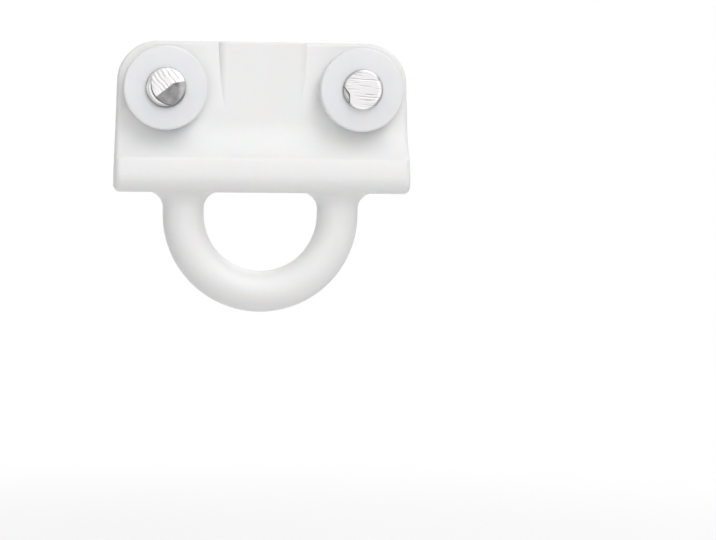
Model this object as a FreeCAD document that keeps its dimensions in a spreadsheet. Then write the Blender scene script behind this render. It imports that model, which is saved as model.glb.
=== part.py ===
"""Wheeled curtain glider: a moulded carrier with a round eye, two pressed axle pins and four wheels.

The frame stands as the glider hangs in its track: +X along the track, +Y across it, +Z up.
The origin is midway between the axles, on the plane that the four treads run on.
"""
import FreeCAD
import Part
import Sketcher
import math
import os

# Driving sizes in millimetres, angles in degrees.
SIZES = {
    "overall_height": 26.95,
    # running gear
    "axle_spacing": 19.4,
    "wheel_diameter": 8.3,
    "wheel_width": 2.2,
    "wheel_edge_radius": 0.2,
    "wheel_bore_chamfer": 0.15,
    "axle_diameter": 3.5,
    "running_clearance": 0.05,
    "side_clearance": 0.1,
    "head_overhang": 0.3,
    "head_height": 0.5,
    "head_bevel": 0.15,
    # left pin's front end, pinched off and pushed over along its ridge
    "pinch_height": 0.8,
    "pinch_slope": 14,
    "pinch_turn": 39,
    "pinch_shift": 0.85,
    "pinch_shoulder": 0.35,
    # right pin's front end, nipped on one side and chipped on the other
    "nip_depth": 0.3,
    "nip_slope": 75,
    "nip_turn": -26,
    "chip_depth": 0.6,
    "chip_slope": 35,
    "chip_turn": 199,
    # web between the wheels
    "block_width": 9.1,
    "block_thickness": 4.2,
    "block_side_radius": 1.0,
    "block_top_radius": 0.2,
    "web_taper": 0.5,
    "taper_above_cove": 1.05,
    "boss_wall": 1.05,
    "boss_height": 0.25,
    "top_above_axle": 4.65,
    "top_corner_radius": 4.0,
    # base bar under the track
    "end_margin": 5.0,
    "end_draft": 1.7,
    "base_depth": 8.6,
    "base_height": 3.4,
    "ledge_drop": 2.76,
    "cove_radius": 4.5,
    "rim_radius": 0.4,
    "base_crown": 0.2,
    "base_crown_height": 1.4,
    "base_end_radius": 0.6,
    "base_bottom_radius": 1.7,
    # round eye below the base
    "eye_bar_diameter": 4.1,
    "eye_inner_radius": 5.67,
    "eye_root_radius": 1.6,
}
SAME = 1e-4  # places closer than this are the same place
WALL_SHARE = 0.9  # the most of a free wall that a fillet takes

doc = FreeCAD.newDocument("curtain_glider")
dim = doc.addObject("Spreadsheet::Sheet", "dim")
for row, (alias, size) in enumerate(SIZES.items(), start=1):
    dim.set(f"A{row}", alias)
    dim.set(f"B{row}", str(size))
    dim.setAlias(f"B{row}", alias)
doc.recompute()

# Places that several features share, as expressions on the sheet.
AXLE_X = "dim.axle_spacing / 2"
AXLE_Z = "dim.wheel_diameter / 2"
TOP_Z = f"({AXLE_Z} + dim.top_above_axle)"
LIP_Z = "-dim.ledge_drop"
BASE_BOTTOM_Z = f"({LIP_Z} - dim.base_height)"
BODY_HEIGHT = f"({TOP_Z} - {BASE_BOTTOM_Z})"
BODY_LENGTH = "(dim.axle_spacing + 2 * dim.end_margin)"
HALF_BASE = "dim.base_depth / 2"
HALF_BLOCK = "dim.block_thickness / 2"
LIP_Y = f"({HALF_BASE} - dim.base_crown)"
LEDGE = f"({LIP_Y} - {HALF_BLOCK})"
COVE_TOP_Z = f"({LIP_Z} + sqrt({LEDGE} * (2 * dim.cove_radius - {LEDGE})))"
TAPER_Z = f"({COVE_TOP_Z} + dim.taper_above_cove)"
HEAD_RADIUS = "(dim.axle_diameter / 2 + dim.head_overhang)"
BOSS_FACE_Y = f"({HALF_BLOCK} + dim.boss_height)"
WHEEL_IN_Y = f"({BOSS_FACE_Y} + dim.side_clearance)"
HEAD_SEAT_Y = f"({WHEEL_IN_Y} + dim.wheel_width + dim.side_clearance)"
EYE_BAR_RADIUS = "dim.eye_bar_diameter / 2"
EYE_MID_RADIUS = f"(dim.eye_inner_radius + {EYE_BAR_RADIUS})"
EYE_CENTRE_Z = f"({TOP_Z} - dim.overall_height + {EYE_MID_RADIUS} + {EYE_BAR_RADIUS})"


def value(expression):
    return float(dim.evalExpression(expression))


def new_body(name):
    body = doc.addObject("PartDesign::Body", name)
    body.Label = name
    return body


def new_sketch(body, name, role):
    plane = next(item for item in body.Origin.OriginFeatures if item.Role == role)
    sketch = body.newObject("Sketcher::SketchObject", name)
    sketch.AttachmentSupport = [(plane, "")]
    sketch.MapMode = "FlatFace"
    return sketch


def pin(sketch, geometry, vertex, across, up):
    """Hold one vertex of a sketch at a place given by two expressions."""
    for kind, axis, place in (("DistanceX", -2, across), ("DistanceY", -1, up)):
        if place == "0":
            sketch.addConstraint(Sketcher.Constraint("PointOnObject", geometry, vertex, axis))
        else:
            index = sketch.addConstraint(Sketcher.Constraint(kind, -1, 1, geometry, vertex, value(place)))
            sketch.setExpression(f"Constraints[{index}]", place)


def tangent_arc(start, end, heading):
    """Arc from start to end that leaves start along heading."""
    chord = end - start
    side = FreeCAD.Vector(-heading.y, heading.x, 0).normalize()
    radius = chord.Length ** 2 / (2 * side.dot(chord))
    centre = start + side * radius
    first, last = (start, end) if radius > 0 else (end, start)
    angles = [math.atan2(point.y - centre.y, point.x - centre.x) for point in (first, last)]
    return Part.ArcOfCircle(Part.Circle(centre, FreeCAD.Vector(0, 0, 1), abs(radius)), *angles)


def outline(sketch, corners, smooth=None):
    """Closed outline through corners. smooth maps a side that is an arc to its end that runs on smoothly."""
    smooth = smooth or {}
    points = [FreeCAD.Vector(value(across), value(up), 0) for across, up in corners]
    count = len(points)
    ends = []
    for index in range(count):
        start, end = points[index], points[(index + 1) % count]
        shape = Part.LineSegment(start, end)
        if smooth.get(index) == "start":
            shape = tangent_arc(start, end, start - points[index - 1])
        elif smooth.get(index) == "end":
            shape = tangent_arc(end, start, end - points[(index + 2) % count])
        side = sketch.addGeometry(shape)
        forward = sketch.Geometry[side].StartPoint.isEqual(start, SAME)
        ends.append(((side, 1), (side, 2)) if forward else ((side, 2), (side, 1)))
    for index in range(count):
        arrives, leaves = ends[index - 1][1], ends[index][0]
        runs_on = smooth.get(index) == "start" or smooth.get((index - 1) % count) == "end"
        kind = "Tangent" if runs_on else "Coincident"
        sketch.addConstraint(Sketcher.Constraint(kind, *arrives, *leaves))
        pin(sketch, *leaves, *corners[index])


def circle(sketch, across, up, radius):
    centre = FreeCAD.Vector(value(across), value(up), 0)
    index = sketch.addGeometry(Part.Circle(centre, FreeCAD.Vector(0, 0, 1), value(radius)))
    bound = sketch.addConstraint(Sketcher.Constraint("Radius", index, value(radius)))
    sketch.setExpression(f"Constraints[{bound}]", radius)
    pin(sketch, index, 3, across, up)


def sketched(body, kind, name, sketch, **sizes):
    """PartDesign feature on a sketch; sizes are expressions."""
    feature = body.newObject(f"PartDesign::{kind}", name)
    feature.Profile = sketch
    for prop, expression in sizes.items():
        feature.setExpression(prop, expression)
    return feature


def both_ways(feature, through=False):
    feature.SideType = "Symmetric"
    if through:
        feature.Type = "ThroughAll"
    doc.recompute()


def round_edges(body, name, radius, chosen):
    """Fillet on every edge of the body so far for which chosen(edge) holds."""
    doc.recompute()
    base = body.Tip
    names = [f"Edge{n}" for n, edge in enumerate(base.Shape.Edges, start=1) if chosen(edge)]
    fillet = body.newObject("PartDesign::Fillet", name)
    fillet.Base = (base, names)
    fillet.setExpression("Radius", radius)
    doc.recompute()


def spans(edge):
    box = edge.BoundBox
    return box.XLength, box.YLength, box.ZLength


def near(measured, expression):
    return abs(measured - value(expression)) < SAME


def turned(body, name, sketch, angle=360):
    """Revolution of a sketch about its upright axis."""
    ring = body.newObject("PartDesign::Revolution", name)
    ring.Profile = sketch
    ring.ReferenceAxis = (sketch, ["V_Axis"])
    ring.Angle = angle
    doc.recompute()


def place(body, along, across, up):
    for axis, expression in zip("xyz", (along, across, up)):
        body.setExpression(f"Placement.Base.{axis}", expression)


def mirrored(corners):
    """Corners of one half from top to bottom, closed by their mirror images."""
    return corners + [(f"-({across})", up) for across, up in reversed(corners)]


def make_block():
    """Raised centre of the web, whose step fades out where the taper starts."""
    body = new_body("centre_block")
    front = new_sketch(body, "block_sketch", "XZ_Plane")
    outline(front, mirrored([("dim.block_width / 2", TOP_Z), ("dim.block_width / 2", TAPER_Z)]))
    both_ways(sketched(body, "Pad", "block_pad", front, Length="dim.block_thickness"))
    round_edges(body, "block_sides", "dim.block_side_radius", lambda edge: spans(edge)[2] > SAME)
    round_edges(body, "block_top", "dim.block_top_radius",
                lambda edge: near(edge.BoundBox.ZMin, TOP_Z) and spans(edge)[1] < SAME)
    return body


def make_carrier():
    body = new_body("carrier_body")

    # The web tapers towards its top and sweeps out in a cove to the base, which is crowned and round below.
    section = new_sketch(body, "section", "YZ_Plane")
    half = [(f"({HALF_BLOCK} - dim.web_taper)", TOP_Z), (HALF_BLOCK, TAPER_Z), (HALF_BLOCK, COVE_TOP_Z),
            (LIP_Y, LIP_Z), (HALF_BASE, f"({LIP_Z} - dim.base_crown_height)"),
            (HALF_BASE, f"({BASE_BOTTOM_Z} + dim.base_bottom_radius)"),
            (f"({HALF_BASE} - dim.base_bottom_radius)", BASE_BOTTOM_Z)]
    outline(section, mirrored(half),
            smooth={2: "start", 3: "end", 5: "start", 7: "end", 9: "start", 10: "end"})
    both_ways(sketched(body, "Pad", "web_and_base", section, Length=BODY_LENGTH))

    # Both ends lean inwards to the top, and the top corners follow the wheels.
    half_bottom = f"{BODY_LENGTH} / 2"
    half_top = f"{half_bottom} - {BODY_HEIGHT} * tan(dim.end_draft * 1deg)"
    ends = new_sketch(body, "ends", "XZ_Plane")
    for sign in ("", "-"):
        outline(ends, [(f"{sign}({half_bottom})", BASE_BOTTOM_Z), (f"{sign}{BODY_LENGTH}", BASE_BOTTOM_Z),
                       (f"{sign}{BODY_LENGTH}", TOP_Z), (f"{sign}({half_top})", TOP_Z)])
    both_ways(sketched(body, "Pocket", "end_draft", ends), through=True)
    round_edges(body, "top_corners", "dim.top_corner_radius",
                lambda edge: near(edge.BoundBox.ZMin, TOP_Z) and spans(edge)[0] < SAME)

    # Moulded edges: round both ends of the base, then the rim all round both faces.
    round_edges(body, "base_ends", "dim.base_end_radius",
                lambda edge: near(edge.BoundBox.ZMax, LIP_Z) and spans(edge)[2] > SAME)
    round_edges(body, "rim", "dim.rim_radius",
                lambda edge: near(edge.BoundBox.ZMin, LIP_Z) and near(edge.BoundBox.ZMax, LIP_Z)
                and spans(edge)[1] < SAME)

    joined = body.newObject("PartDesign::Boolean", "block_joined")
    joined.Type = "Fuse"
    joined.setObjects([make_block()])

    # Bosses stand the wheels off the web, and the pins are pressed through them.
    bore = "dim.axle_diameter / 2"
    for name, kind, radius in (("boss", "Pad", f"({bore} + dim.boss_wall)"), ("bore", "Pocket", bore)):
        rounds = new_sketch(body, f"{name}_sketch", "XZ_Plane")
        for sign in ("", "-"):
            circle(rounds, f"{sign}{AXLE_X}", AXLE_Z, radius)
        feature = sketched(body, kind, f"{name}s", rounds, Length=f"2 * {BOSS_FACE_Y}")
        both_ways(feature, through=kind == "Pocket")

    # The eye is a round bar bent to a half ring on two short legs.
    legs = new_sketch(body, "legs_sketch", "XY_Plane")
    bend = new_sketch(body, "bend_sketch", "XY_Plane")
    for sketch in (legs, bend):
        sketch.setExpression("AttachmentOffset.Base.z", EYE_CENTRE_Z)
        circle(sketch, EYE_MID_RADIUS, "0", EYE_BAR_RADIUS)
    circle(legs, f"-{EYE_MID_RADIUS}", "0", EYE_BAR_RADIUS)
    sketched(body, "Pad", "eye_legs", legs, Length=f"{BASE_BOTTOM_Z} - {EYE_CENTRE_Z}")
    turned(body, "eye_bend", bend, angle=180)
    root_room = f"({HALF_BASE} - {EYE_BAR_RADIUS})"
    round_edges(body, "eye_roots", f"min(dim.eye_root_radius; {WALL_SHARE} * {root_room})",
                lambda edge: near(edge.BoundBox.ZMin, BASE_BOTTOM_Z) and spans(edge)[2] < SAME
                and edge.isClosed())
    return body


def make_wheel(name, x_sign, y_sign):
    """Wheel about its own Y axis, with rounded tread edges and a bevelled bore."""
    body = new_body(name)
    bore = "(dim.axle_diameter / 2 + dim.running_clearance)"
    bevel = f"({bore} + dim.wheel_bore_chamfer)"
    tread = "dim.wheel_diameter / 2"
    shoulder = f"({tread} - dim.wheel_edge_radius)"
    face = "dim.wheel_width / 2"
    tread_end = f"({face} - dim.wheel_edge_radius)"
    bore_end = f"({face} - dim.wheel_bore_chamfer)"
    profile = new_sketch(body, f"{name}_profile", "XY_Plane")
    inner = [(shoulder, face), (bevel, face), (bore, bore_end)]
    outer = [(bore, f"-{bore_end}"), (bevel, f"-{face}"), (shoulder, f"-{face}"), (tread, f"-{tread_end}"),
             (tread, tread_end)]
    outline(profile, inner + outer, smooth={5: "start", 7: "start"})
    turned(body, f"{name}_turning", profile)
    place(body, f"{x_sign}{AXLE_X}", f"{y_sign}({WHEEL_IN_Y} + {face})", AXLE_Z)
    return body


def make_axle(name, x_sign, front_height):
    """Pin about its own Y axis, with both ends upset to heads that keep the wheels on."""
    body = new_body(name)
    shank = "dim.axle_diameter / 2"
    face = f"({HEAD_RADIUS} - dim.head_bevel)"
    profile = new_sketch(body, f"{name}_profile", "XY_Plane")
    corners = []
    for sign, height in (("-", front_height), ("", "dim.head_height")):
        end = f"({HEAD_SEAT_Y} + {height})"
        rim = f"({end} - dim.head_bevel)"
        side = [("0", f"{sign}{end}"), (face, f"{sign}{end}"), (HEAD_RADIUS, f"{sign}{rim}"),
                (HEAD_RADIUS, f"{sign}{HEAD_SEAT_Y}"), (shank, f"{sign}{HEAD_SEAT_Y}")]
        corners += side if sign else reversed(side)
    outline(profile, corners)
    turned(body, f"{name}_turning", profile)
    place(body, f"{x_sign}{AXLE_X}", "0", AXLE_Z)
    return body


def cut_off(body, name, sketch):
    """Pocket through everything on the front side of a sketch."""
    pocket = sketched(body, "Pocket", name, sketch)
    pocket.Type = "ThroughAll"
    pocket.Reversed = True
    doc.recompute()


def side_sketch(body, name, turn):
    """Sketch along the pin's axis, swung round it by turn: across is the pin's Y, up points outwards."""
    sketch = new_sketch(body, name, "YZ_Plane")
    sketch.AttachmentOffset = FreeCAD.Placement(
        FreeCAD.Vector(), FreeCAD.Rotation(FreeCAD.Vector(1, 0, 0), value(turn)))
    sketch.setExpression("AttachmentOffset.Rotation.Angle", turn)
    return sketch


def pinch(body):
    """Front end cut off by pincers: two facets that meet in a ridge, pushed over beside a shoulder."""
    ridge = f"({HEAD_SEAT_Y} + dim.pinch_height)"
    reach = f"(2 * {HEAD_RADIUS})"
    foot = f"({ridge} - {reach} * tan(dim.pinch_slope * 1deg))"
    beyond = f"({ridge} + {reach})"
    facets = side_sketch(body, "pinch_sketch", "-dim.pinch_turn")
    outline(facets, [(f"-{ridge}", "0"), (f"-{foot}", reach), (f"-{beyond}", reach),
                     (f"-{beyond}", f"-{reach}"), (f"-{foot}", f"-{reach}")])
    both_ways(sketched(body, "Pocket", "pinch", facets), through=True)

    shoulder = new_sketch(body, "shoulder_sketch", "XZ_Plane")
    shoulder.setExpression("AttachmentOffset.Base.z", f"{HEAD_SEAT_Y} + dim.pinch_shoulder")
    along, up = (f"dim.pinch_shift * {part}(dim.pinch_turn * 1deg)" for part in ("cos", "sin"))
    circle(shoulder, along, up, HEAD_RADIUS)
    circle(shoulder, "0", "0", reach)
    cut_off(body, "shoulder", shoulder)


def shave(body, name):
    """Sloping facet that takes one side off the front head; its sizes are named after it."""
    face = f"({HEAD_SEAT_Y} + dim.head_height)"
    edge = f"({HEAD_RADIUS} - dim.{name}_depth)"
    reach = f"(2 * {HEAD_RADIUS})"
    foot = f"({face} - ({reach} - {edge}) * tan(dim.{name}_slope * 1deg))"
    facet = side_sketch(body, f"{name}_sketch", f"90 - dim.{name}_turn")
    outline(facet, [(f"-{face}", edge), (f"-{foot}", reach), (f"-{face}", reach)])
    both_ways(sketched(body, "Pocket", name, facet), through=True)


carrier = make_carrier()
left_axle = make_axle("left_axle", "-", "dim.pinch_height")
pinch(left_axle)
right_axle = make_axle("right_axle", "", "dim.head_height")
shave(right_axle, "nip")
shave(right_axle, "chip")
pieces = [carrier, left_axle, right_axle]
for end, x_sign in (("left", "-"), ("right", "")):
    for face, y_sign in (("front", "-"), ("rear", "")):
        pieces.append(make_wheel(f"{face}_{end}_wheel", x_sign, y_sign))

doc.recompute()
for item in doc.Objects:
    if "Invalid" in item.State or "Error" in item.State:
        raise RuntimeError(f"{item.Name} failed: {item.State}")
for piece in pieces:
    if piece.Shape.isNull() or not piece.Shape.isValid() or len(piece.Shape.Solids) != 1:
        raise RuntimeError(f"{piece.Label} is not one sound solid")

os.makedirs("parts", exist_ok=True)
for piece in pieces:
    piece.Shape.exportStep(f"parts/{piece.Label}.step")
    print(f"{piece.Label}: {piece.Shape.Volume:.2f} mm3")
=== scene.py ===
import math

import bmesh
import bpy
from mathutils import Matrix, Vector, noise


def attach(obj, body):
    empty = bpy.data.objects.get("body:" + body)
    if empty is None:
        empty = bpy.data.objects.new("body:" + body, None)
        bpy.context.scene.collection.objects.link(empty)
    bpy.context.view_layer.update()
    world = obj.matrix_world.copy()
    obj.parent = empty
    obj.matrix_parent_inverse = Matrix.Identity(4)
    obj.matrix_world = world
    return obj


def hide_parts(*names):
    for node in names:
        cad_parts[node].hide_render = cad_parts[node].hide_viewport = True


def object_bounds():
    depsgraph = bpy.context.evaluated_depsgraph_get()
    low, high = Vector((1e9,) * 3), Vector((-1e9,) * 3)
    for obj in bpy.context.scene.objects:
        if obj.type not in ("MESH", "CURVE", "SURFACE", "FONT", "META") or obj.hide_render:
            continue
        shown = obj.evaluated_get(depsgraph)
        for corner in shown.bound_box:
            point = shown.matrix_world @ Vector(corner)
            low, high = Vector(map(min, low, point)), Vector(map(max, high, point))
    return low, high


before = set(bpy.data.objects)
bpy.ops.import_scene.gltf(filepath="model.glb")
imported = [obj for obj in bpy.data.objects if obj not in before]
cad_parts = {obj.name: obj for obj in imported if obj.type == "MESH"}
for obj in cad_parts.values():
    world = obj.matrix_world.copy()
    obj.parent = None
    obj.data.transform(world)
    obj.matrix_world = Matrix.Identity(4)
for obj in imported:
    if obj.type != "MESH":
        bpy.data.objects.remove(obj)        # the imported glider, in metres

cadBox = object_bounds()
mm = 0.001
imageWidth = 716  # pixels across the picture
scene = bpy.context.scene
scene.view_settings.view_transform = "Standard"
print("frame: loaded", len(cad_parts), "nodes")


# camera
photoView = {
    "distance": 300 * mm,
    "fromLeft": 5.6,  # degrees
    "fromAbove": 2.96,
    "lean": 0.65,
    "right": -9.69 * mm,  # the glider's origin, from the middle of the picture
    "up": 13.94 * mm,
    "pixelsPerMm": 10.0,  # at that distance
    "sensor": 36.0,  # mm
}


def addCamera(view):
    yaw, pitch, lean = (math.radians(view[key]) for key in ("fromLeft", "fromAbove", "lean"))
    level = Vector((math.cos(yaw), -math.sin(yaw), 0))
    ahead = Vector((math.sin(yaw) * math.cos(pitch), math.cos(yaw) * math.cos(pitch), -math.sin(pitch)))
    upright = level.cross(ahead)
    right = level * math.cos(lean) + upright * math.sin(lean)
    up = upright * math.cos(lean) - level * math.sin(lean)
    turn = Matrix((right, up, -ahead)).transposed()
    place = -(right * view["right"] + ahead * view["distance"] + up * view["up"])
    camera = bpy.data.objects.new("camera", bpy.data.cameras.new("camera"))
    camera.matrix_world = Matrix.Translation(place) @ turn.to_4x4()
    camera.data.sensor_width = view["sensor"]
    focalPixels = view["pixelsPerMm"] * view["distance"] / mm
    camera.data.lens = focalPixels / imageWidth * view["sensor"]
    camera.data.clip_start = 1 * mm
    scene.collection.objects.link(camera)
    scene.camera = camera


addCamera(photoView)
print("camera: placed")


# node sockets that take part in sums
class Wire:
    def __init__(self, tree, socket):
        self.tree = tree
        self.socket = socket

    def node(self, kind, settings, inputs, output=0):
        made = self.tree.nodes.new(kind)
        for key, value in settings.items():
            setattr(made, key, value)
        for key, value in inputs.items():
            if isinstance(value, Wire):
                self.tree.links.new(value.socket, made.inputs[key])
            else:
                made.inputs[key].default_value = value
        return Wire(self.tree, made.outputs[output])

    def maths(self, operation, first, second=0.0):
        return self.node("ShaderNodeMath", {"operation": operation}, {0: first, 1: second})

    def within(self, low, high, first=0.0, last=1.0):  # eased from first to last between two values
        return self.node("ShaderNodeMapRange", {"interpolation_type": "SMOOTHSTEP"}, {
            "Value": self, "From Min": low, "From Max": high, "To Min": first, "To Max": last})

    def __add__(self, other):
        return self.maths("ADD", self, other)

    def __sub__(self, other):
        return self.maths("SUBTRACT", self, other)

    def __rsub__(self, other):
        return self.maths("SUBTRACT", other, self)

    def __mul__(self, other):
        return self.maths("MULTIPLY", self, other)

    def __abs__(self):
        return self.maths("ABSOLUTE", self)

    __radd__ = __add__
    __rmul__ = __mul__


def inMillimetres(tree):
    coordinates = tree.nodes.new("ShaderNodeTexCoord")
    place = Wire(tree, coordinates.outputs["Object"])
    return place.node("ShaderNodeVectorMath", {"operation": "SCALE"}, {0: place, "Scale": 1 / mm})


def parts(place):
    split = place.node("ShaderNodeSeparateXYZ", {}, {0: place})
    return [Wire(place.tree, socket) for socket in split.socket.node.outputs]


def speckle(place, size, detail=2.0):
    inputs = {"Vector": place, "Scale": 1 / size, "Detail": detail}
    return place.node("ShaderNodeTexNoise", {}, inputs, "Fac")


def blendColours(factor, first, second):
    return factor.node("ShaderNodeMix", {"data_type": "RGBA"}, {0: factor, 6: first, 7: second}, 2)


def bumps(height):
    return height.node("ShaderNodeBump", {}, {"Height": height * mm, "Distance": 1.0})


def newFinish(name, constants):
    finish = bpy.data.materials.new(name)
    finish.use_nodes = True
    shader = finish.node_tree.nodes["Principled BSDF"]
    for key, value in constants.items():
        shader.inputs[key].default_value = value
    return finish, finish.node_tree, shader


def feed(tree, shader, inputs):
    for key, wire in inputs.items():
        tree.links.new(wire.socket, shader.inputs[key])


# white moulded plastic of the carrier
whiteMoulding = {
    "colour": (0.87, 0.87, 0.868, 1),
    "flowColour": (0.85, 0.85, 0.845, 1),
    "flowSize": 6.0,  # mm
    "grainSize": 0.12,
    "grainHeight": 0.004,
    "seamWidth": 0.08,
    "seamHeight": 0.012,
    "roughness": 0.42,
}


def whiteMouldingFinish(look):
    finish, tree, shader = newFinish("white_moulding", {
        "IOR": 1.48,
        "Subsurface Weight": 0.2,
        "Subsurface Scale": 1 * mm,
    })
    place = inMillimetres(tree)
    flow = speckle(place, look["flowSize"], 3.0)
    grain = speckle(place, look["grainSize"])
    seam = abs(parts(place)[1]).within(0.0, look["seamWidth"], 1.0, 0.0)  # where the mould's halves met
    feed(tree, shader, {
        "Base Color": blendColours(flow, look["colour"], look["flowColour"]),
        "Roughness": look["roughness"] + 0.1 * (grain - 0.5),
        "Normal": bumps(grain * look["grainHeight"] + seam * look["seamHeight"]),
    })
    return finish


whitePlastic = whiteMouldingFinish(whiteMoulding)
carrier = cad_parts["carrier_body"]
carrier.data.materials.clear()
carrier.data.materials.append(whitePlastic)
print("carrier: finished")


# wheels, turned about their axles
wheelShape = {
    "radius": 4.15,  # mm
    "bore": 1.8,
    "width": 2.2,
    "edge": 0.2,  # roundness of the tread's edges
    "bevel": 0.15,  # roundness of the bore's edges
    "seam": 0.015,  # height of the mould seam round the tread
    "crown": 0.16,  # how far the faces fall back towards the tread
}
wheelPlaces = {"axleX": 9.7, "middleY": 3.55, "axleZ": 4.15}

wheelPlastic = {
    "colour": (0.83, 0.835, 0.85, 1),
    "flowColour": (0.80, 0.805, 0.825, 1),
    "flowSize": 2.5,
    "grainSize": 0.1,
    "grainHeight": 0.003,
    "roughness": 0.38,
}


def wheelPlasticFinish(look):
    finish, tree, shader = newFinish("wheel_plastic", {
        "IOR": 1.5,
        "Subsurface Weight": 0.2,
        "Subsurface Scale": 1 * mm,
    })
    place = inMillimetres(tree)
    flow = speckle(place, look["flowSize"], 3.0)
    grain = speckle(place, look["grainSize"])
    feed(tree, shader, {
        "Base Color": blendColours(flow, look["colour"], look["flowColour"]),
        "Roughness": look["roughness"] + 0.1 * (flow - 0.5),
        "Normal": bumps(grain * look["grainHeight"]),
    })
    return finish


def wheelTree(sizes, finish):
    tree = bpy.data.node_groups.new("wheelRing", "GeometryNodeTree")
    keys = {}
    for name in sizes:
        socket = tree.interface.new_socket(name, in_out="INPUT", socket_type="NodeSocketFloat")
        keys[name] = socket.identifier
    tree.interface.new_socket("wheel", in_out="OUTPUT", socket_type="NodeSocketGeometry")
    start = tree.nodes.new("NodeGroupInput")
    radius, bore, width, edge, bevel, seam, crown = (Wire(tree, start.outputs[name]) for name in sizes)

    section = radius.node("GeometryNodeCurvePrimitiveQuadrilateral", {}, {
        "Width": radius - bore, "Height": width})
    place = radius.node("GeometryNodeInputPosition", {}, {})
    outside = radius.maths("GREATER_THAN", parts(place)[0], 0.0)
    rounded = radius.node("GeometryNodeFilletCurve", {"mode": "POLY"}, {
        "Curve": section, "Radius": outside * (edge - bevel) + bevel, "Count": 6})
    spaced = radius.node("GeometryNodeResampleCurve", {"mode": "LENGTH"}, {"Curve": rounded, "Length": 0.07})
    path = radius.node("GeometryNodeCurvePrimitiveCircle", {}, {
        "Resolution": 160, "Radius": (radius + bore) * 0.5})
    ring = radius.node("GeometryNodeCurveToMesh", {}, {"Curve": path, "Profile Curve": spaced})

    across, along, up = parts(place)
    flat = radius.node("ShaderNodeCombineXYZ", {}, {"X": across, "Y": along})
    reach = radius.node("ShaderNodeVectorMath", {"operation": "LENGTH"}, {0: flat}, "Value")
    tread = radius.maths("GREATER_THAN", reach, radius - 0.01)
    height = tread * seam * abs(up).within(0.0, 0.1, 1.0, 0.0)
    share = radius.maths("DIVIDE", reach - bore, radius - bore)
    fall = radius.maths("DIVIDE", share * crown * up * -2.0, width)
    outwards = radius.maths("DIVIDE", height, reach)
    offset = radius.node("ShaderNodeCombineXYZ", {}, {
        "X": across * outwards, "Y": along * outwards, "Z": fall})
    shaped = radius.node("GeometryNodeSetPosition", {}, {"Geometry": ring, "Offset": offset})
    stood = radius.node("GeometryNodeTransform", {}, {
        "Geometry": shaped, "Rotation": (math.pi / 2, 0, 0), "Scale": (mm, mm, mm)})
    real = radius.node("GeometryNodeRealizeInstances", {}, {"Geometry": stood})
    dressed = radius.node("GeometryNodeSetMaterial", {}, {"Geometry": real, "Material": finish})
    end = tree.nodes.new("NodeGroupOutput")
    tree.links.new(dressed.socket, end.inputs[0])
    return tree, keys


def makeWheel(name, tree, keys, sizes, place):
    maker = bpy.data.objects.new(name + "Maker", bpy.data.meshes.new(name + "Maker"))
    scene.collection.objects.link(maker)
    modifier = maker.modifiers.new("ring", "NODES")
    modifier.node_group = tree
    for size, amount in sizes.items():
        modifier[keys[size]] = amount
    graph = bpy.context.evaluated_depsgraph_get()
    mesh = bpy.data.meshes.new_from_object(maker.evaluated_get(graph))
    mesh.name = name
    mesh.transform(Matrix.Translation(place))
    mesh.shade_smooth()
    bpy.data.objects.remove(maker)
    wheel = bpy.data.objects.new(name, mesh)
    scene.collection.objects.link(wheel)
    return wheel


ringTree, ringKeys = wheelTree(wheelShape, wheelPlasticFinish(wheelPlastic))
for endName, xSign in (("left", -1), ("right", 1)):
    for faceName, ySign in (("front", -1), ("rear", 1)):
        across, depth = xSign * wheelPlaces["axleX"], ySign * wheelPlaces["middleY"]
        middle = Vector((across, depth, wheelPlaces["axleZ"])) * mm
        wheel = makeWheel(faceName + endName.title() + "Wheel", ringTree, ringKeys, wheelShape, middle)
        wheelNode = f"{faceName}_{endName}_wheel"
        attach(wheel, wheelNode)
        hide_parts(wheelNode)
print("wheels: turned")


# pins, with their ends as they were cut and their light and shade painted into the colour; angles run
# anticlockwise from the right, as seen from the front
pinShape = {
    "shank": 1.75,  # mm
    "head": 1.98,
    "bevel": 0.15,
    "seat": 4.75,
    "segments": 256,
    "faceRings": 60,
}

pinchedCut = {
    "ridge": 5.55,
    "slope": 14,  # degrees
    "turn": 39,
    "shift": 0.12,  # of the ridge, down and to the right
    "markSpacing": 0.4,
    "markDepth": 0.02,
    "bright": 0.60,
    "mark": 0.46,
    # painted shade: the facet below the ridge faces down, away from the light, and is given a darker colour
    "sheared": 0.32,
    "bend": (0.8, 0.5),  # where along the ridge it bends to the right, and how much
    "shoulder": 5.1,
    "shoulderMiddle": (0.70, 0.45),
    "shoulderRadius": 2.17,
    "streaks": (1.56, 1.87),  # radii of the painted highlight lines on the shoulder
    "rim": ((0, .5), (15, .5), (35, .55), (90, .55), (125, .45), (165, .35), (180, .55), (205, .35),
            (230, .32), (270, .25), (300, .25), (330, .22), (350, .4), (360, .5)),  # angle, and painted light and shade round the rim
}

sawnCut = {
    "end": 5.25,
    "markSlope": 0.08,
    "markDepth": 0.012,
    "bright": 0.60,
    "mark": 0.42,
    "chipAngle": 216,  # degrees
    "chipAt": 1.284,  # from the axis
    "chipSide": 1.32,
    "chipDrop": 0.28,
    "nipAngle": 324,
    "nipAt": 1.80,
    "nipDrop": 0.3,
    # angle, and painted light and shade round the rim
    "rim": ((0, .45), (20, .5), (36, .32), (50, .6), (70, .6), (90, .5), (110, .38), (130, .3), (150, .38),
            (165, .33), (200, .35), (222, .3), (238, .7), (270, .9), (298, .6), (312, .4), (345, .42),
            (360, .45)),
}


def ease(value, low, high):
    share = min(max((value - low) / (high - low), 0), 1)
    return share * share * (3 - 2 * share)


def mix(first, second, share):
    return first + (second - first) * share


def rimShade(stops, angle):
    for (low, first), (high, last) in zip(stops, stops[1:]):
        if low <= angle <= high:
            return mix(first, last, (angle - low) / (high - low))


def noiseAt(*place):
    return noise.noise(Vector(place))


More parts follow.
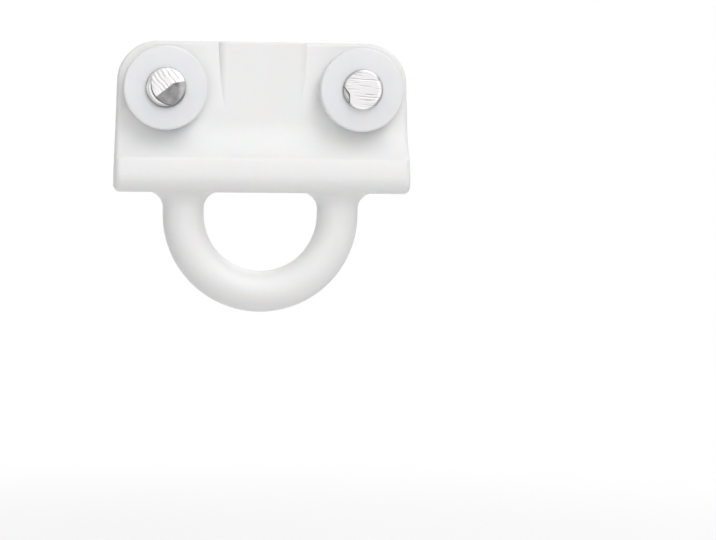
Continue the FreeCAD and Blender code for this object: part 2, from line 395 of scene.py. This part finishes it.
def pinchedEnd(x, z, look):  # reach from the glider's middle and shade at a place on the face
    turn = math.radians(look["turn"])
    along = x * math.cos(turn) + z * math.sin(turn)
    across = z * math.cos(turn) - x * math.sin(turn) + look["shift"]
    across += 0.05 * noiseAt(along * 2.2, 0, 3) + look["bend"][1] * max(along - look["bend"][0], 0)
    reach = look["ridge"] - abs(across) * math.tan(math.radians(look["slope"]))
    phase = (along + 0.12 * noiseAt(along * 0.8, across * 1.2, 0)) / look["markSpacing"] % 1
    mark = ease(0.36 - abs(phase - 0.5), 0, 0.3) * ease(noiseAt(along * 1.7, across * 0.9, 5), -0.4, 0.15)
    upper = ease(across, -0.02, 0.05)
    reach -= mark * upper * look["markDepth"]
    blotch = noiseAt(x * 1.6, z * 1.6, 7) * 0.10 + noiseAt(along * 2, across * 6, 9) * 0.06
    lighter = 0.2 * ease(x, 1.1, 1.5) - 0.12 * ease(0.5 - math.hypot(x - 0.95, z - 0.45), 0, 0.4)
    # painted shade below the ridge: the darker facet colour with random blotches, lighter towards the right
    # edge and darker round one spot; above it the brighter facet with its cut marks
    shade = mix(look["sheared"] + blotch + lighter, mix(look["bright"], look["mark"], mark), upper)

    radius = math.hypot(x, z)
    away = math.dist((x, z), look["shoulderMiddle"]) - look["shoulderRadius"]
    step = ease(away, -0.04, 0.06)
    # painted light and shade on the shoulder: grey with painted highlight lines, and a painted dark shadow
    # line along its edge
    highlight = max(ease(0.11 - abs(radius - at - 0.05 * noiseAt(x, z, 2)), 0, 0.08) for at in look["streaks"])
    shade = mix(shade, mix(0.36, 0.6, highlight), step) - 0.8 * step * (1 - step)
    return mix(reach, min(reach, look["shoulder"]), step), shade


def sawnEnd(x, z, look):
    along = z + look["markSlope"] * x
    scratch = noiseAt(x * 0.55, along * 6.5, 1) + 0.5 * noiseAt(x * 0.9, along * 14, 4)
    mark = ease(scratch, 0.12, 0.5)
    shade = mix(look["bright"], look["mark"], mark)
    return look["end"] - mark * look["markDepth"], shade


def chippedEnd(x, z, look):
    reach, shade = sawnEnd(x, z, look)
    # painted highlight: a bright ring where the face's right edge catches the light
    shade += 0.1 * ease(0.16 - abs(math.hypot(x, z) - 1.66), 0, 0.1) * ease(x, 1.0, 1.4)
    chip, nip = (math.radians(look[key]) for key in ("chipAngle", "nipAngle"))
    beyond = x * math.cos(chip) + z * math.sin(chip) - look["chipAt"]
    inside = ease(-look["chipSide"] - x, -0.05, 0.08)
    chipped = ease(beyond, -0.02, 0.12) * inside
    reach -= chipped * look["chipDrop"]
    # painted highlight along the chip's edge, with painted stripes and shade on the chipped facet
    chipEdgeHighlight = ease(0.09 - abs(beyond + 0.02), 0, 0.05) * inside
    strip = ease(0.09 - abs(beyond - 0.32), 0, 0.06)
    shade = mix(mix(shade, mix(0.30, 0.5, strip), chipped), 0.7, chipEdgeHighlight)
    # painted shadow line beside the chip's edge
    shade -= 0.16 * ease(0.05 - abs(beyond + 0.16), 0, 0.04) * inside
    # painted shade on the nipped chord at the lower right
    nipped = ease(x * math.cos(nip) + z * math.sin(nip) - look["nipAt"], -0.02, 0.10)
    return reach - nipped * look["nipDrop"], mix(shade, 0.4, nipped)


def endRings(shape, cut, look, side):  # from the middle of a face to its seat
    face = shape["head"] - shape["bevel"]
    angles = [2 * math.pi * index / shape["segments"] for index in range(shape["segments"])]
    rings = [[(0, side * cut(0, 0, look)[0], 0, cut(0, 0, look)[1])]]
    for index in range(1, shape["faceRings"] + 1):
        radius = face * index / shape["faceRings"]
        ring = []
        for angle in angles:
            x, z = radius * math.cos(angle), radius * math.sin(angle)
            reach, shade = cut(x, z, look)
            # painted light and shade round the rim, by angle
            rimPainted = rimShade(look["rim"], math.degrees(angle))
            shade = mix(shade, rimPainted, ease(radius, face - 0.1, face))
            ring.append((x, side * reach, z, shade))
        rings.append(ring)
    last = rings[-1]
    for turn in (30, 60, 90):
        drop = side * shape["bevel"] * (1 - math.cos(math.radians(turn)))
        grown = 1 + shape["bevel"] * math.sin(math.radians(turn)) / face
        rings.append([(x * grown, y - drop, z * grown, shade) for x, y, z, shade in last])
    for radius in (shape["head"], shape["shank"]):
        grown = radius / face
        rings.append([(x * grown, side * shape["seat"], z * grown, shade) for x, y, z, shade in last])
    return rings


def makePin(name, shape, cut, look, place, finish):
    rings = endRings(shape, cut, look, -1) + endRings(shape, sawnEnd, sawnCut, 1)[::-1]
    mesh = bpy.data.meshes.new(name)
    form = bmesh.new()
    shadeLayer = form.verts.layers.float.new("shade")
    rows = []
    for ring in rings:
        row = []
        for x, y, z, shade in ring:
            corner = form.verts.new(Vector((x, y, z)) * mm + place)
            corner[shadeLayer] = min(max(shade, 0.12), 1)
            row.append(corner)
        rows.append(row)
    for first, second in zip(rows, rows[1:]):
        count = max(len(first), len(second))
        for index in range(count):
            after = (index + 1) % count
            corners = [first[index % len(first)], first[after % len(first)],
                       second[after % len(second)], second[index % len(second)]]
            form.faces.new(list(dict.fromkeys(corners)))
    bmesh.ops.recalc_face_normals(form, faces=form.faces)
    form.to_mesh(mesh)
    form.free()
    mesh.shade_smooth()
    mesh.set_sharp_from_angle(angle=math.radians(40))
    mesh.materials.append(finish)
    pin = bpy.data.objects.new(name, mesh)
    scene.collection.objects.link(pin)
    return pin


pinMetal = {
    "tint": (1.0, 0.985, 0.985, 1),
    "grainSize": 0.06,  # mm
    "grainHeight": 0.003,
    "roughness": 0.38,
}


def pinMetalFinish(look):
    finish, tree, shader = newFinish("pin_metal", {"Metallic": 1.0})
    place = inMillimetres(tree)
    grain = speckle(place, look["grainSize"], 3.0)
    shade = place.node("ShaderNodeAttribute", {"attribute_name": "shade"}, {}, "Fac")
    # the shade attribute carries painted light and shade of the cut ends together with their cut marks;
    # grain adds a random speckle
    shadeAndGrain = shade * (0.92 + 0.16 * grain)
    feed(tree, shader, {
        "Base Color": blendColours(shadeAndGrain, (0, 0, 0, 1), look["tint"]),
        "Roughness": look["roughness"] + 0.2 * (grain - 0.5),
        "Normal": bumps(grain * look["grainHeight"]),
    })
    return finish


cutMetal = pinMetalFinish(pinMetal)
for pinName, xSign, cut, look in (("left", -1, pinchedEnd, pinchedCut), ("right", 1, chippedEnd, sawnCut)):
    axle = Vector((xSign * wheelPlaces["axleX"], 0, wheelPlaces["axleZ"])) * mm
    pin = makePin(pinName + "Pin", pinShape, cut, look, axle, cutMetal)
    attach(pin, "carrier")
    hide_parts(pinName + "_axle")
print("pins: cut")


# stage
studio = {
    "floorDrop": 26 * mm,  # the glider hangs clear of the floor, as it does in its track
    "floorSize": 4.0,
    "floorColour": (0.9, 0.9, 0.9, 1),
    "floorWhite": 0.8,  # share of plain white in the floor near the glider, the rest takes its shadow
    "shadowReach": (50 * mm, 110 * mm),
    "skyLevel": 0.25,  # at 1 a white face is lit to white
}

lamps = {
    "topLamp": {"level": 0.34, "right": 34, "above": 55, "distance": 0.50, "size": 0.35},
    "frontLamp": {"level": 0.21, "right": 18, "above": 30, "distance": 0.50, "size": 0.25},
    "lowLamp": {"level": 0.13, "right": -12, "above": 5, "distance": 0.50, "size": 0.25},
    "leftLamp": {"level": 0.10, "right": -50, "above": 47, "distance": 0.50, "size": 0.35},
    "backLamp": {"level": 0.22, "right": 150, "above": 45, "distance": 0.50, "size": 0.35},
}


def whiteToCamera(tree):  # 1 where the picture, metal or glass sees the backdrop
    path = tree.nodes.new("ShaderNodeLightPath")
    seen = [Wire(tree, path.outputs[f"Is {ray} Ray"]) for ray in ("Camera", "Glossy", "Transmission")]
    return seen[0].maths("MAXIMUM", seen[0].maths("MAXIMUM", seen[0], seen[1]), seen[2])


def addSky(level):
    world = bpy.data.worlds.new("studio")
    world.use_nodes = True
    scene.world = world
    tree = world.node_tree
    seen = whiteToCamera(tree)
    background = tree.nodes["Background"]
    background.inputs["Color"].default_value = (1, 1, 1, 1)
    tree.links.new((seen * (1 - level) + level).socket, background.inputs["Strength"])


def addFloor(look):
    half = look["floorSize"] / 2
    height = cadBox[0][2] - look["floorDrop"]
    mesh = bpy.data.meshes.new("floor")
    corners = [(-half, -half, height), (half, -half, height), (half, half, height), (-half, half, height)]
    mesh.from_pydata(corners, [], [(0, 1, 2, 3)])
    floor = bpy.data.objects.new("floor", mesh)
    scene.collection.objects.link(floor)
    finish, tree, shader = newFinish("floor", {"Base Color": look["floorColour"], "Specular IOR Level": 0.0})
    seen = whiteToCamera(tree)
    place = Wire(tree, tree.nodes.new("ShaderNodeTexCoord").outputs["Object"])
    away = seen.node("ShaderNodeVectorMath", {"operation": "LENGTH"}, {0: place}, "Value")
    white = away.within(*look["shadowReach"], look["floorWhite"], 1.0)
    glow = seen.node("ShaderNodeEmission", {}, {"Color": (1, 1, 1, 1), "Strength": 1.0})
    lit = Wire(tree, shader.outputs["BSDF"])
    shown = seen.node("ShaderNodeMixShader", {}, {0: seen * white, 1: lit, 2: glow})
    tree.links.new(shown.socket, tree.nodes["Material Output"].inputs["Surface"])
    mesh.materials.append(finish)


def addLamp(name, look):
    right, above = math.radians(look["right"]), math.radians(look["above"])
    level = math.cos(above)
    towards = Vector((math.sin(right) * level, -math.cos(right) * level, math.sin(above)))
    light = bpy.data.lights.new(name, "AREA")
    light.shape = "DISK"
    light.size = look["size"]
    light.energy = look["level"] * (math.pi * look["distance"]) ** 2
    lamp = bpy.data.objects.new(name, light)
    middle = (Vector(cadBox[0]) + Vector(cadBox[1])) / 2
    lamp.matrix_world = (Matrix.Translation(middle + towards * look["distance"])
                         @ towards.to_track_quat("Z", "Y").to_matrix().to_4x4())
    scene.collection.objects.link(lamp)


addSky(studio["skyLevel"])
addFloor(studio)
for lampName, lampLook in lamps.items():
    addLamp(lampName, lampLook)
print("stage: lit")
